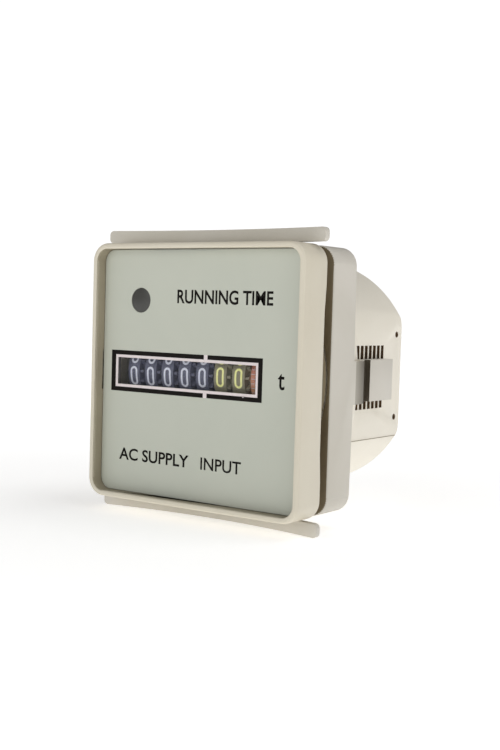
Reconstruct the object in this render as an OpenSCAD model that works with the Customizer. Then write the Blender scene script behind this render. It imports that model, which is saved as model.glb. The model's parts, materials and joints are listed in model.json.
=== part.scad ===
// Panel-mount hour meter: square bezel, round body, ratchet clamp with spring bars,
// and a synchronous motor that turns eight number wheels through a gear train.
// Millimetres. X is to the right seen from the front, Y runs into the panel, Z is up.
// The origin is the centre of the bezel's rear face, where the panel's front face lies.

/* [Bezel] */
// Width and height of the square bezel
bezel_w = 52; // [51.5:0.1:60]
// Depth of the bezel in front of the panel
bezel_depth = 7.7; // [7:0.1:10]
// Radius of the bezel's corners, seen from the front
bezel_corner_r = 3.7; // [2:0.1:6]
// Thickness of the bezel's front rim
rim_wall = 1.15; // [1:0.05:1.4]
// Thickness of the bezel's skirt around the tray
skirt_wall = 0.85; // [0.7:0.05:0.9]
// Rounding of the rim's outer front edge
rim_round = 0.6; // [0.3:0.05:0.7]
// Depth of the dial's front face behind the rim
dial_recess = 2.7; // [2:0.1:3.5]

/* [Body] */
// Radius of the round collar that goes through the panel's cut-out
collar_r = 24.9; // [23:0.05:24.95]
// Length of the round collar
collar_len = 2.6; // [2:0.1:2.7]
// How far the body behind the collar is smaller in radius
collar_step = 0.3; // [0.3:0.05:0.5]
// Length of the body behind the panel's front face
body_len = 39.9; // [38:0.1:60]
// Wall thickness of the body
body_wall = 1.45; // [1.2:0.05:1.8]
// Distance from the axis to each side flat
flat_x = 20.9; // [20.7:0.1:21.5]
// Start of the ramps that lead down to the side flats
flat_start = 15; // [14.9:0.1:17]
// Rounding of the body's rear edge
rear_round = 1.5; // [0.5:0.1:1.5]
// Thickness of the body's front flange
flange_t = 1.6; // [1.2:0.1:2]

/* [Ratchet] */
// Number of ratchet slots in each flat
slot_count = 7; // [4:1:8]
// Distance from one slot to the next
slot_pitch = 1.7; // [1.5:0.05:1.8]
// Width of one slot
slot_w = 1.15; // [0.6:0.05:1.15]
// Half the height of the slots
slot_half_h = 6.6; // [5:0.1:8]
// Distance of the first slot's near edge behind the panel face
slot_start = 20.7; // [20:0.1:22]
// Radius of the small holes that the rear cover snaps into
snap_hole_r = 0.65; // [0.5:0.05:0.7]
// Height of the snap holes above and below the axis
snap_hole_z = 8.9; // [7:0.1:10]

/* [Dial] */
// Thickness of the dial plate
dial_t = 0.8; // [0.6:0.05:1]
// Height of the number window
window_h = 5.5; // [5:0.1:6]
// How far the window reaches past the middle of its first and last wheel
window_over = 2.05; // [1.5:0.05:2.2]
// Sideways place of the running indicator
indicator_x = -14.95; // [-16:0.05:-13]
// Height of the running indicator
indicator_z = 14.55; // [13.5:0.05:15]
// Radius of the running indicator
indicator_r = 2.5; // [1.8:0.1:2.6]

/* [Clamp] */
// Gap between the bezel and the clamp, where the panel goes
panel_gap = 2.8; // [2.7:0.1:6]
// Width and height of the clamp's square frame
clamp_w = 51.7; // [51.5:0.1:60]
// Depth of the clamp's frame
clamp_depth = 8.6; // [6:0.1:8.6]
// Thickness of the clamp's walls
clamp_wall = 1.2; // [1:0.1:1.6]
// Running gap between the clamp and the round collar
clamp_gap = 0.15; // [0.1:0.05:0.3]
// Gap between the arm pads and the side flats
arm_gap = 0.45; // [0.35:0.05:0.6]
// Half the width of each side arm
arm_half = 4.25; // [3:0.05:5]
// Height of the arm pad's outer face above the axis
pad_x = 23.6; // [23:0.1:24.5]
// Start of the arm's raised pad
pad_start = 21.8; // [21.7:0.1:23]
// Length of the arm's raised pad
pad_len = 9.5; // [7:0.1:11]
// Half the length of the spring bars
bar_half = 26.6; // [24:0.1:28]
// Height of the spring bars
bar_h = 2.65; // [2:0.05:3.5]
// Thickness of the spring bars
bar_t = 1.3; // [1:0.05:1.6]
// How far the ends of a spring bar reach forward of its middle
bar_bow = 2.9; // [1.5:0.1:3.5]
// Gap between a spring bar and the top of the bezel
bar_gap = 0.3; // [0.2:0.05:0.5]

/* [Counter] */
// Number of number wheels
wheel_count = 8; // [8:1:8]
// Distance from one number wheel to the next
wheel_pitch = 4.45; // [4.4:0.01:4.5]
// Radius of the number wheels
wheel_r = 7.2; // [7.1:0.05:7.3]
// Width of a number wheel's rim
rim_w = 3.0; // [2.9:0.05:3.05]
// Distance of the number shaft behind the panel face
counter_y = 4.5; // [4.4:0.05:4.7]
// Sideways place of the middle of the first number wheel
first_wheel_x = -18.4; // [-18.5:0.05:-18.3]
// Radius of the number shaft
number_shaft_r = 1.0; // [0.8:0.05:1.2]
// Radius of the transfer shaft
transfer_shaft_r = 0.6; // [0.5:0.05:0.7]
// Radial running clearance of the bores
run_gap = 0.05; // [0.03:0.01:0.08]

/* [Gear train] */
// Teeth on each number wheel's gear
wheel_teeth = 20; // [20:10:20]
// Teeth on each transfer pinion
transfer_teeth = 8; // [8:1:8]
// Tooth module of the number wheels and transfer pinions
transfer_module = 0.64; // [0.63:0.01:0.64]
// Teeth on the gear of the fraction wheel
fraction_teeth = 48; // [48:1:48]
// Teeth on the pinion that drives the fraction wheel
slow_pinion_teeth = 8; // [8:1:8]
// Teeth on both reduction gears
reduction_teeth = 50; // [50:1:50]
// Teeth on the motor's pinion and the first reduction gear's pinion
fast_pinion_teeth = 10; // [10:1:10]
// Tooth module of the reduction train
train_module = 0.28; // [0.27:0.01:0.28]
// Extra centre distance of every gear pair
mesh_gap = 0.05; // [0.04:0.01:0.06]
// Face width of the reduction gears
gear_w = 0.6; // [0.5:0.05:0.65]

/* [Motor] */
// Distance of the motor's axis behind the panel face
motor_y = 27.5; // [27:0.1:27.6]
// Outer radius of the motor case
motor_r = 9.3; // [8.5:0.1:9.3]
// Length of the motor case
motor_len = 12.3; // [10:0.1:13]
// Wall thickness of the motor case
motor_wall = 0.5; // [0.4:0.05:0.6]
// Radius of the rotor's magnet
magnet_r = 5.1; // [4:0.1:5.2]
// Radius of the rotor's shaft
rotor_shaft_r = 0.6; // [0.5:0.05:0.7]

/* [Terminals] */
// Sideways place of each terminal tab
tab_x = 7; // [6:0.1:9]
// Width of a terminal tab
tab_w = 6.3; // [4.8:0.1:6.3]
// Thickness of a terminal tab
tab_t = 0.8; // [0.5:0.1:0.8]
// How far the tabs stand out of the rear cover
tab_out = 8; // [6:0.1:10]
// Radius of the hole in each tab
tab_hole_r = 0.8; // [0.6:0.05:0.9]

/* [Hidden] */
$fn = 64;
eps = 0.01;
seat_gap = 0.02;                                  // between still pieces that fit round each other
bezel_half = bezel_w / 2;
skirt_half = bezel_half - skirt_wall;             // inside of the skirt
rim_half = bezel_half - rim_wall;                 // inside of the rim
tray_half = skirt_half - 0.1;
tray_wall = 1.2;
dial_front = dial_recess - bezel_depth;           // Y of the dial's front face
dial_back = dial_front + dial_t;
dial_half = rim_half - 0.1;
body_r = collar_r - collar_step;
cavity_r = body_r - body_wall;
flat_in = flat_x - body_wall;                     // inside of the side flats
ramp_sum = body_r + flat_start;                   // X + Y along the ramp's outer face
cavity_ramp = ramp_sum - body_wall * sqrt(2);     // X + Y along its inner face

last_wheel_x = first_wheel_x + (wheel_count - 1) * wheel_pitch;
window_x0 = first_wheel_x - window_over - 0.3;
window_x1 = last_wheel_x + window_over - 0.75;
window_cx = (window_x0 + window_x1) / 2;
window_w = window_x1 - window_x0;
lens_t = 0.7;
lens_lap = 0.7;                                   // overlap of the lens behind the dial

clamp_half = clamp_w / 2;
clamp_back = panel_gap + clamp_depth;
clamp_bore = collar_r + clamp_gap;
clamp_forward = 0.9;                              // travel towards the bezel
clamp_travel = 9.6;                               // travel away from it
arm_sum = ramp_sum + clamp_forward + 0.25;        // X + Y along the arm's inner slope
arm_mid = -0.4;                                   // middle height of the arms
pad_in = flat_x + arm_gap;
pawl_h = 0.25;
bar_bottom = max(bezel_half, clamp_half) + bar_gap;
bar_mid_y = 1.0;                                  // front face of a bar at its middle
bar_r = (bar_half * bar_half + bar_bow * bar_bow) / (2 * bar_bow);
lug_half = 4.5;

side_gap = 0.15;
lock_w = 0.45;                                    // plain ring on the left of a number wheel
wheel_gear_w = wheel_pitch - rim_w - lock_w - side_gap;
transfer_d = transfer_module * (wheel_teeth + transfer_teeth) / 2 + mesh_gap;
transfer_y = counter_y + transfer_d;
lock_r = transfer_d - transfer_module * (transfer_teeth / 2 + 0.85) - 0.12;
hub_r = 2.2;
gear_bore_r = 2.0;

drive_x0 = last_wheel_x + rim_w / 2 + 0.1;        // fraction gear's left face
drive_w = wheel_gear_w - 0.1;
plate_x0 = drive_x0 + drive_w + 0.2;              // movement plate's inner face
plate_t = 0.8;
layer_2 = plate_x0 + plate_t + 0.15;
layer_3 = layer_2 + gear_w + 0.15;
outer_x0 = layer_3 + gear_w + 0.2;                // outer plate's inner face
outer_t = 0.7;
cheek_t = 0.9;
cheek_x1 = first_wheel_x - rim_w / 2 - lock_w - side_gap - 0.2;
cheek_x0 = cheek_x1 - cheek_t;
arbor_r = 0.5;
frame_r = cavity_r - 0.3;                         // the counter frame's reach inside the body
web_z = wheel_r + 0.4;
web_t = 0.8;

fraction_d = train_module * (fraction_teeth + slow_pinion_teeth) / 2 + mesh_gap;
stage_d = train_module * (reduction_teeth + fast_pinion_teeth) / 2 + mesh_gap;
slow_angle = 25;                                  // direction of the slow gear from the number shaft
number_at = [counter_y, 0];
motor_at = [motor_y, 0];
slow_at = number_at + fraction_d * [cos(slow_angle), sin(slow_angle)];
fast_at = elbow(slow_at, motor_at, stage_d);

screw_x = -3;
screw_z = 18.2;
ledge_y = 5;
ledge_len = 4;
screw_r = 1.0;
screw_head_r = 1.9;
tab_half = 3;
frame_tab_t = 1.0;

pcb_y = body_len - 2.9;
pcb_t = 0.8;
cover_in = pcb_y + pcb_t + 0.5;                   // rear cover's inner face
cover_t = 1.2;
cover_out = cover_in + cover_t;
cover_gap = 0.15;
cover_skirt = 1.2;
cover_r = cavity_r - cover_gap;
cover_flat = flat_in - cover_gap;
pcb_r = cover_r - cover_skirt - 0.5;
pcb_flat = cover_flat - cover_skirt - 0.2;
snap_y = pcb_y + 0.7;
stake_x = 13;
stake_z = 10;
stake_r = 0.7;

motor_x0 = plate_x0 - motor_len;
coil_x0 = motor_x0 + 1;
coil_len = motor_len - 3.3;
coil_in = magnet_r + 0.8;
bobbin_out = motor_r - motor_wall - 0.05;

pillars = [[counter_y + 1.5, -9.5], [motor_y - 3, 10.3], [motor_y + 3.5, -9.5]];

// The third corner of a triangle whose two equal sides run from a and from b
function elbow(a, b, side) =
    let (mid = (a + b) / 2, half = norm(b - a) / 2, dir = (b - a) / norm(b - a))
    mid + sqrt(side * side - half * half) * [dir[1], -dir[0]];

// Direction from a to b in the plane of the gears, in degrees
function heading(a, b) = atan2(b[1] - a[1], b[0] - a[0]);

function wheel_x(k) = first_wheel_x + (k - 1) * wheel_pitch;

// Points of a gear outline: each tooth is narrow at its tip and wide at its root
function tooth_outline(teeth, m, root_share, tip_share) =
    let (rp = teeth * m / 2, step = 360 / teeth)
    [for (i = [0 : teeth - 1])
        for (c = [[-1, rp - 1.15 * m, root_share], [-1, rp, 0.42], [-1, rp + 0.85 * m, tip_share],
                  [1, rp + 0.85 * m, tip_share], [1, rp, 0.42], [1, rp - 1.15 * m, root_share]])
            let (a = (i + c[0] * c[2] / 2) * step) c[1] * [cos(a), sin(a)]];

// Turns a shape's own Z axis to run along +Y
module along_y() rotate([-90, 0, 0]) children();

// Lays a drawing in the plane of the gears: its own X runs along +Y, its own Y along +Z
module across_x(x) translate([x, 0, 0]) rotate([90, 0, 90]) children();

// Extrudes an outline seen from the front between two depths
module slab(y0, y1) translate([0, y0, 0]) along_y() linear_extrude(y1 - y0) children();

module rod_y(x, z, y0, y1, r) translate([x, y0, z]) along_y() cylinder(h = y1 - y0, r = r);

module rod_x(at, x0, x1, r) across_x(x0) translate([at[0], at[1], 0]) cylinder(h = x1 - x0, r = r);

module rounded_square(half, r) {
    square([2 * half, 2 * (half - r)], center = true);
    square([2 * (half - r), 2 * half], center = true);
    for (sx = [-1, 1], sy = [-1, 1])
        translate([sx * (half - r), sy * (half - r)]) circle(r);
}

// A round outline cut by two side flats
module flatted_circle(r, flat) intersection() {
    circle(r);
    square([2 * flat, 3 * r], center = true);
}

module gear_2d(teeth, m, root_share, tip_share, phase)
    rotate(phase) polygon(tooth_outline(teeth, m, root_share, tip_share));

module spur_gear(teeth, m, phase) gear_2d(teeth, m, 0.62, 0.2, phase);

module pinion_gear(teeth, m, phase) gear_2d(teeth, m, 0.66, 0.16, phase);

// Places a gear outline at a point in the plane of the gears, from x over a width w
module gear_at(at, x, w) across_x(x) translate([at[0], at[1], 0]) linear_extrude(w) children();

// Section of the bezel's wall: X is the distance inwards, Y the depth in front of the panel
module bezel_section() {
    inner_round = 0.25;
    square([skirt_wall, bezel_depth - rim_round]);
    translate([0, -dial_back]) square([rim_wall, bezel_depth + dial_back - rim_round]);
    translate([rim_round, -dial_back])
        square([rim_wall - rim_round - inner_round, bezel_depth + dial_back]);
    translate([rim_round, -dial_back])
        square([rim_wall - rim_round, bezel_depth + dial_back - inner_round]);
    translate([rim_round, bezel_depth - rim_round]) circle(rim_round);
    translate([rim_wall - inner_round, bezel_depth - inner_round]) circle(inner_round);
}

module front_bezel() color("#e6dccb") {
    side = bezel_half - bezel_corner_r;
    notch_half = 18.5;
    notch_depth = 0.4;
    snap_half = 4;
    difference() {
        rotate([90, 0, 0])
            for (q = [0 : 3]) rotate(90 * q) {
                translate([bezel_half, side, 0]) rotate([90, 0, 0])
                    linear_extrude(2 * side) mirror([1, 0]) bezel_section();
                translate([side, side, 0]) rotate_extrude(angle = 90)
                    translate([bezel_corner_r, 0]) mirror([1, 0]) bezel_section();
            }
        // shallow relief in the rear edge of both sides
        for (s = [-1, 1])
            translate([s * bezel_half - 2, -notch_depth, -notch_half])
                cube([4, notch_depth + 1, 2 * notch_half]);
        // snap pockets in the rim, in front of the dial
        for (q = [0 : 3]) rotate([0, 90 * q, 0])
            translate([rim_half - eps, dial_front - 0.2, -snap_half])
                cube([0.45, dial_t + 0.1, 2 * snap_half]);
    }
}

// The region outside the side flats, with a ramp at its front
module flat_cutter(r, flat, sum) linear_extrude(4 * r, center = true)
    polygon([[flat, sum - flat], [flat, body_len + 1], [r + 2, body_len + 1], [r + 2, sum - r],
             [r, sum - r]]);

module both_flats(r, flat, sum) {
    flat_cutter(r, flat, sum);
    mirror([1, 0, 0]) flat_cutter(r, flat, sum);
}

module body_outer() difference() {
    union() {
        slab(-flange_t, 0) rounded_square(tray_half, bezel_corner_r - skirt_wall);
        slab(dial_back, -flange_t + eps) rounded_square(tray_half, bezel_corner_r - skirt_wall);
        slab(0, collar_len) circle(collar_r);
        slab(0, body_len - rear_round) circle(body_r);
        slab(0, body_len) circle(body_r - rear_round);
        translate([0, body_len - rear_round, 0]) along_y()
            rotate_extrude() translate([body_r - rear_round, 0]) intersection() {
                circle(rear_round);
                square(rear_round);
            }
    }
    both_flats(body_r, flat_x, ramp_sum);
}

// The screw ledges inside the body, above and below the counter
module screw_ledges() intersection() {
    slab(ledge_y, ledge_y + ledge_len) circle(cavity_r + 0.4);
    for (s = [-1, 1])
        translate([screw_x - 5, ledge_y, s > 0 ? screw_z - 2.2 : -screw_z + 2.2 - 8])
            cube([10, ledge_len, 8]);
}

module body_shell() color("#f1ece2") difference() {
    union() {
        difference() {
            body_outer();
            difference() {
                slab(-flange_t - eps, body_len + 1) circle(cavity_r);
                both_flats(cavity_r, flat_in, cavity_ramp);
            }
            slab(dial_back - 1, -flange_t) rounded_square(tray_half - tray_wall, 1.5);
        }
        screw_ledges();
    }
    // ratchet slots through both side walls
    for (s = [-1, 1], i = [0 : slot_count - 1])
        translate([s * flat_x - 2, slot_start + i * slot_pitch, -slot_half_h])
            cube([4, slot_w, 2 * slot_half_h]);
    for (sz = [-1, 1])
        rod_x([snap_y, sz * snap_hole_z], -flat_x - 1, flat_x + 1, snap_hole_r);
    for (sz = [-1, 1])
        rod_y(screw_x, sz * screw_z, ledge_y - 1, ledge_y + ledge_len + 1, screw_r + run_gap);
}

module rear_cover() color("#efe9de") difference() {
    union() {
        slab(cover_in, cover_out) flatted_circle(cover_r, cover_flat);
        slab(snap_y - 1.4, cover_in + eps) difference() {
            flatted_circle(cover_r, cover_flat);
            flatted_circle(cover_r - cover_skirt, cover_flat - cover_skirt);
        }
        for (sx = [-1, 1], sz = [-1, 1])
            rod_x([snap_y, sz * snap_hole_z], sx > 0 ? cover_flat - 0.5 : -cover_flat - 0.4,
                  sx > 0 ? cover_flat + 0.4 : -cover_flat + 0.5, snap_hole_r - 0.1);
        for (sx = [-1, 1], sz = [-1, 1])
            rod_y(sx * stake_x, sz * stake_z, pcb_y + pcb_t, cover_in + eps, 2 * stake_r);
        for (sx = [-1, 1], sz = [-1, 1])
            rod_y(sx * stake_x, sz * stake_z, pcb_y - 0.6, pcb_y + pcb_t + eps, stake_r);
        // barrier between the terminals
        translate([-0.6, cover_out - eps, -tab_w / 2 - 1.5]) cube([1.2, 2.5, tab_w + 3]);
    }
    for (s = [-1, 1])
        translate([s * tab_x - tab_t / 2 - 0.1, cover_in - 1, -tab_w / 2 - 0.1])
            cube([tab_t + 0.2, cover_t + 2, tab_w + 0.2]);
}

module dial_plate() color("#bdc3b1") difference() {
    slab(dial_front, dial_back) rounded_square(dial_half, bezel_corner_r - rim_wall - 0.1);
    translate([window_x0, dial_front - 1, -window_h / 2]) cube([window_w, dial_t + 2, window_h]);
    rod_y(indicator_x, indicator_z, dial_front - 1, dial_back + 1, indicator_r + seat_gap);
}

module window_lens() color("#dfe6ea", 0.4)
    translate([window_x0 - lens_lap, dial_back, -window_h / 2 - lens_lap])
        cube([window_w + 2 * lens_lap, lens_t, window_h + 2 * lens_lap]);

module indicator_lens() color("#4b4b4b") {
    rod_y(indicator_x, indicator_z, dial_front, dial_back + eps, indicator_r);
    rod_y(indicator_x, indicator_z, dial_back, dial_back + 0.4, indicator_r + 0.7);
}

// One spring bar, bowed so that its ends press forward on the panel
module spring_bar() intersection() {
    translate([0, 0, bar_bottom]) linear_extrude(bar_h) difference() {
        translate([0, bar_mid_y - bar_r]) circle(bar_r + bar_t, $fn = 256);
        translate([0, bar_mid_y - bar_r]) circle(bar_r, $fn = 256);
    }
    slab(bar_mid_y - 2 * bar_bow - 2, bar_mid_y + bar_t + 1) {
        end_r = 0.9;
        translate([-bar_half + end_r, -bar_bottom - bar_h]) square([2 * (bar_half - end_r), bar_h]);
        translate([-bar_half, -bar_bottom - bar_h + end_r]) square([2 * bar_half, bar_h - 2 * end_r]);
        for (sx = [-1, 1], dz = [end_r, bar_h - end_r])
            translate([sx * (bar_half - end_r), -bar_bottom - dz]) circle(end_r);
    }
}

// The lug that joins a spring bar to the top of the frame
module bar_lug() {
    translate([-lug_half, bar_mid_y + 0.6, bar_bottom]) cube([2 * lug_half, 5, bar_h - 0.4]);
    translate([-lug_half, panel_gap + 0.2, clamp_half - 0.6])
        cube([2 * lug_half, bar_mid_y + 5.4 - panel_gap, bar_bottom - clamp_half + 1]);
}

// Side arm: flush with the frame, then down into a valley, then the raised pad with its pawl teeth
module side_arm() {
    bend = arm_sum - clamp_bore;
    valley_x = pad_in + 1.1;
    translate([0, 0, arm_mid - arm_half]) linear_extrude(2 * arm_half) polygon([
        [clamp_bore, clamp_back - 2], [clamp_half, clamp_back - 2],
        [clamp_half, clamp_back + 0.8], [clamp_half - 0.15, bend - 1.1],
        [clamp_half - 0.35, bend + 0.2], [valley_x, pad_start - 0.4],
        [valley_x, pad_start], [pad_x, pad_start],
        [pad_x, pad_start + pad_len], [pad_in, pad_start + pad_len],
        [pad_in, arm_sum - pad_in], [clamp_bore, bend]]);
    for (i = [1 : 4])
        translate([0, slot_start + i * slot_pitch + slot_pitch, arm_mid - arm_half])
            linear_extrude(2 * arm_half)
                polygon([[pad_in + 0.1, 0], [pad_in - pawl_h, 0.1], [pad_in + 0.1, slot_w]]);
}

module clamp_frame() color("#d9d6cb") {
    difference() {
        slab(panel_gap, clamp_back) rounded_square(clamp_half, bezel_corner_r);
        slab(panel_gap - 1, clamp_back + 1) circle(clamp_bore);
        slab(panel_gap + clamp_wall, clamp_back + 1) difference() {
            rounded_square(clamp_half - clamp_wall, bezel_corner_r - clamp_wall);
            circle(clamp_bore + clamp_wall);
        }
    }
    for (side = [0, 1]) mirror([side, 0, 0]) side_arm();
    for (side = [0, 1]) mirror([0, 0, side]) {
        spring_bar();
        bar_lug();
    }
}

// Left cheek, right movement plate, and the two webs and screw tabs that join them
module counter_frame() color("#2b2a30") difference() {
    intersection() {
        slab(-1, motor_y + motor_r) circle(frame_r);
        union() {
            translate([cheek_x0, -1, -web_z - web_t])
                cube([cheek_t, flat_start + 0.9, 2 * (web_z + web_t)]);
            translate([plate_x0, -1, -12]) cube([plate_t, motor_y + motor_r - 1, 24]);
            for (s = [-1, 1]) {
                translate([cheek_x0, 1, s > 0 ? web_z : -web_z - web_t])
                    cube([plate_x0 + plate_t - cheek_x0, 11, web_t]);
                translate([screw_x - tab_half, ledge_y - frame_tab_t,
                           s > 0 ? web_z : -screw_z - 2])
                    cube([2 * tab_half, frame_tab_t, screw_z + 2 - web_z]);
            }
        }
    }
    rod_x(number_at, cheek_x0 - 1, plate_x0 + 2, number_shaft_r + seat_gap);
    rod_x([transfer_y, 0], cheek_x0 - 1, plate_x0 + 2, transfer_shaft_r + seat_gap);
    for (at = [slow_at, fast_at]) rod_x(at, plate_x0 - 1, plate_x0 + 2, arbor_r + run_gap);
    rod_x(motor_at, plate_x0 - 1, plate_x0 + 2, rotor_shaft_r + run_gap);
    for (at = pillars) rod_x(at, plate_x0 - 1, plate_x0 + 2, 0.6 + seat_gap);
    for (s = [-1, 1]) rod_y(screw_x, s * screw_z, 0, ledge_y + 1, screw_r + run_gap);
}

module outer_gear_plate() color("#c9c6bd") difference() {
    union() {
        translate([outer_x0, 2.5, -11.2]) cube([outer_t, motor_y + 3, 23]);
        for (at = pillars) rod_x(at, plate_x0 + plate_t, outer_x0 + eps, 1.3);
    }
    for (at = pillars) rod_x(at, plate_x0, outer_x0 + 2, 0.6 + seat_gap);
    for (at = [slow_at, fast_at]) rod_x(at, outer_x0 - 1, outer_x0 + 2, arbor_r + run_gap);
}

module number_shaft() color("#b9bcc0")
    rod_x(number_at, cheek_x0 + 0.1, plate_x0 + plate_t, number_shaft_r);

module transfer_shaft() color("#b9bcc0")
    rod_x([transfer_y, 0], cheek_x0 + 0.1, plate_x0 + plate_t, transfer_shaft_r);

module number_wheel(k, shade) color(shade) {
    x = wheel_x(k);
    last = k == wheel_count;
    difference() {
        union() {
            rod_x(number_at, x - rim_w / 2, x + rim_w / 2, wheel_r);
            rod_x(number_at, x - rim_w / 2 - lock_w, x, lock_r);
            if (!last)
                gear_at(number_at, x + rim_w / 2 - eps, wheel_gear_w + eps)
                    spur_gear(wheel_teeth, transfer_module, 0);
            if (last)
                rod_x(number_at, x, drive_x0 + drive_w, gear_bore_r);
        }
        rod_x(number_at, x - rim_w, x + rim_w, number_shaft_r + run_gap);
        // hollow behind the lock ring
        difference() {
            rod_x(number_at, x - rim_w, x + rim_w / 2 - 1, lock_r - 0.8);
            rod_x(number_at, x - rim_w - 1, x + rim_w, hub_r);
        }
    }
}

module transfer_pinion(k) color("#d8d4c8") {
    x0 = wheel_x(k) + rim_w / 2 + 0.1;
    x1 = wheel_x(k + 1) - rim_w / 2 - 0.1;
    difference() {
        gear_at([transfer_y, 0], x0, x1 - x0)
            pinion_gear(transfer_teeth, transfer_module, 180 + 180 / transfer_teeth);
        rod_x([transfer_y, 0], x0 - 1, x1 + 1, transfer_shaft_r + run_gap);
    }
}

module fraction_gear() color("#d8d4c8") difference() {
    gear_at(number_at, drive_x0, drive_w)
        spur_gear(fraction_teeth, train_module, heading(number_at, slow_at));
    rod_x(number_at, drive_x0 - 1, drive_x0 + 2, gear_bore_r + seat_gap);
}

module slow_reduction_gear() color("#d8d4c8") {
    gear_at(slow_at, drive_x0, drive_w)
        pinion_gear(slow_pinion_teeth, train_module,
                    heading(number_at, slow_at) + 180 + 180 / slow_pinion_teeth);
    gear_at(slow_at, layer_2, gear_w)
        spur_gear(reduction_teeth, train_module, heading(slow_at, fast_at));
    rod_x(slow_at, drive_x0, outer_x0 + outer_t, arbor_r);
}

module fast_reduction_gear() color("#d8d4c8") {
    gear_at(fast_at, layer_2, gear_w + 0.15 + eps)
        pinion_gear(fast_pinion_teeth, train_module,
                    heading(slow_at, fast_at) + 180 + 180 / fast_pinion_teeth);
    gear_at(fast_at, layer_3, gear_w)
        spur_gear(reduction_teeth, train_module, heading(fast_at, motor_at));
    rod_x(fast_at, plate_x0 + 0.1, outer_x0 + outer_t, arbor_r);
}

module motor_case() color("#a9abad") difference() {
    rod_x(motor_at, motor_x0, plate_x0, motor_r);
    rod_x(motor_at, motor_x0 + motor_wall, plate_x0 + 1, motor_r - motor_wall);
    rod_x(motor_at, motor_x0 - 1, motor_x0 + 1, rotor_shaft_r + run_gap);
    translate([coil_x0 - 0.2, motor_y + motor_r - 1.5, -3]) cube([1.2, 2, 6]);
}

module coil_bobbin() color("#3a3a3a") difference() {
    union() {
        rod_x(motor_at, coil_x0, coil_x0 + coil_len, coil_in + 0.5);
        rod_x(motor_at, coil_x0, coil_x0 + 0.6, bobbin_out);
        rod_x(motor_at, coil_x0 + coil_len - 0.6, coil_x0 + coil_len, bobbin_out);
    }
    rod_x(motor_at, coil_x0 - 1, coil_x0 + coil_len + 1, coil_in);
}

module coil_winding() color("#b5651d") difference() {
    rod_x(motor_at, coil_x0 + 0.62, coil_x0 + coil_len - 0.62, bobbin_out - 0.3);
    rod_x(motor_at, coil_x0, coil_x0 + coil_len, coil_in + 0.5 + seat_gap);
}

module stator_claws() color("#8d8f92") difference() {
    rod_x(motor_at, coil_x0, coil_x0 + coil_len, coil_in - seat_gap);
    rod_x(motor_at, coil_x0 - 1, coil_x0 + coil_len + 1, coil_in - 0.45);
    for (i = [0 : 5])
        across_x(coil_x0 + 0.8) translate([motor_y, 0, 0]) rotate(30 * i)
            translate([-coil_in - 1, -0.45, 0]) cube([2 * coil_in + 2, 0.9, coil_len - 1.6]);
}

module rotor_magnet() color("#45454a") difference() {
    rod_x(motor_at, coil_x0 + 1.5, coil_x0 + coil_len - 1.5, magnet_r);
    rod_x(motor_at, coil_x0, coil_x0 + coil_len, rotor_shaft_r + seat_gap);
}

module rotor_shaft() color("#b9bcc0") {
    rod_x(motor_at, motor_x0 + 0.05, layer_3 + eps, rotor_shaft_r);
    gear_at(motor_at, layer_3, gear_w)
        pinion_gear(fast_pinion_teeth, train_module,
                    heading(fast_at, motor_at) + 180 + 180 / fast_pinion_teeth);
}

module coil_pins() color("#c8a24a")
    for (s = [-1, 1])
        rod_y(coil_x0 + 0.3, s * 2, motor_y + sqrt(bobbin_out * bobbin_out - 4) + 0.15, pcb_y, 0.3);

module circuit_board() color("#b08a4e") difference() {
    slab(pcb_y, pcb_y + pcb_t) flatted_circle(pcb_r, pcb_flat);
    for (sx = [-1, 1], sz = [-1, 1])
        rod_y(sx * stake_x, sz * stake_z, pcb_y - 1, pcb_y + 2, stake_r + run_gap);
    for (s = [-1, 1])
        translate([s * tab_x - tab_t / 2 - 0.05, pcb_y - 1, -0.85])
            cube([tab_t + 0.1, pcb_t + 2, 1.7]);
}

module dropper_capacitor() color("#c9a63a")
    translate([-17, pcb_y - 7, -7]) cube([11, 7, 14]);

module dropper_resistor() color("#c2b59b") {
    at_x = -3.2;
    at_y = pcb_y - 2;
    leg_z = 7.5;
    translate([at_x, at_y, -5]) cylinder(h = 10, r = 1.5);
    translate([at_x, at_y, -leg_z]) cylinder(h = 2 * leg_z, r = 0.3);
    for (s = [-1, 1]) rod_y(at_x, s * leg_z, at_y, pcb_y, 0.3);
}

module running_lamp() color("#e8c9a0") {
    lamp_r = 1.8;
    rod_y(indicator_x, indicator_z, dial_back + 2.2, dial_back + 6.5, lamp_r);
    translate([indicator_x, dial_back + 2.2, indicator_z]) sphere(lamp_r);
}

module lamp_holder() color("#efe9de") difference() {
    rod_y(indicator_x, indicator_z, dial_back + 0.4, -flange_t - 0.2, 2.7);
    rod_y(indicator_x, indicator_z, dial_back, 0, 1.8 + seat_gap);
}

module lamp_leads() color("#b9bcc0")
    for (s = [-1, 1])
        rod_y(indicator_x + 0.7 * s, indicator_z - 0.4, dial_back + 6.5, pcb_y, 0.25);

module terminal_tab(s) color("#d2b45c") {
    tip = 1;
    reach = cover_out + tab_out;
    difference() {
        translate([s * tab_x - tab_t / 2, 0, 0]) rotate([90, 0, 90]) linear_extrude(tab_t) polygon([
            [pcb_y + pcb_t, -tab_w / 2], [reach - tip, -tab_w / 2], [reach, -tab_w / 2 + tip],
            [reach, tab_w / 2 - tip], [reach - tip, tab_w / 2], [pcb_y + pcb_t, tab_w / 2],
            [pcb_y + pcb_t, 0.8], [pcb_y, 0.8], [pcb_y, -0.8],
            [pcb_y + pcb_t, -0.8]]);
        rod_x([reach - 4, 0], s * tab_x - 2, s * tab_x + 2, tab_hole_r);
    }
}

module terminal_left() terminal_tab(-1);

module terminal_right() terminal_tab(1);

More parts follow.
